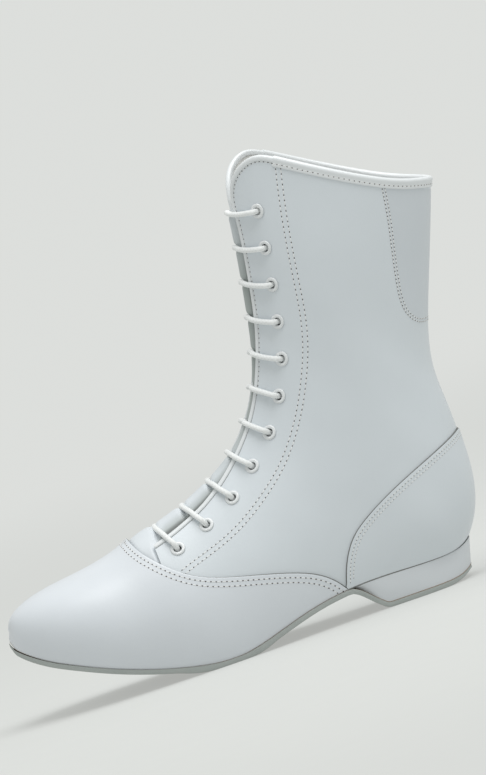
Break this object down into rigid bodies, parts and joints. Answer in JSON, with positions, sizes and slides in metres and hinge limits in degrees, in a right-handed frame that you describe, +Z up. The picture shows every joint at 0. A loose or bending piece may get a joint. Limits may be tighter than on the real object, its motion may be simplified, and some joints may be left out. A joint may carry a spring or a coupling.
{
  "type": "dance boot",
  "caption": "White leather lace-up dance boot: ankle-high shaft, overlaid vamp and heel counter, rows of painted eyelets, round cord lace, thin outsole and low heel.",
  "frame": {"origin": "middle of the boot's box on the floor it stands on", "axes": "+X from the toe to the heel, +Y to the inner side of the foot, +Z up"},
  "size_m": [0.2955, 0.0898, 0.2528],
  "materials": {
    "white_leather": "satin",
    "vamp_leather": "satin",
    "counter_leather": "satin",
    "binding_leather": "satin",
    "tongue_leather": "matte",
    "heel_leather": "satin",
    "sole_leather": "matte",
    "insole_board": "matte",
    "eyelet_paint": "satin",
    "lace_cord": "matte"
  },
  "bodies": {
    "root": {"upper": "white_leather", "vamp": "vamp_leather", "heel_counter": "counter_leather", "collar_binding": "binding_leather", "tongue": "tongue_leather", "insole": "insole_board", "outsole": "sole_leather", "heel": "heel_leather", "lace": "lace_cord", "eyelet_lateral_01": "eyelet_paint", "eyelet_lateral_02": "eyelet_paint", "eyelet_lateral_03": "eyelet_paint", "eyelet_lateral_04": "eyelet_paint", "eyelet_lateral_05": "eyelet_paint", "eyelet_lateral_06": "eyelet_paint", "eyelet_lateral_07": "eyelet_paint", "eyelet_lateral_08": "eyelet_paint", "eyelet_lateral_09": "eyelet_paint", "eyelet_lateral_10": "eyelet_paint", "eyelet_lateral_11": "eyelet_paint", "eyelet_medial_01": "eyelet_paint", "eyelet_medial_02": "eyelet_paint", "eyelet_medial_03": "eyelet_paint", "eyelet_medial_04": "eyelet_paint", "eyelet_medial_05": "eyelet_paint", "eyelet_medial_06": "eyelet_paint", "eyelet_medial_07": "eyelet_paint", "eyelet_medial_08": "eyelet_paint", "eyelet_medial_09": "eyelet_paint", "eyelet_medial_10": "eyelet_paint", "eyelet_medial_11": "eyelet_paint"}
  },
  "joints": []
}
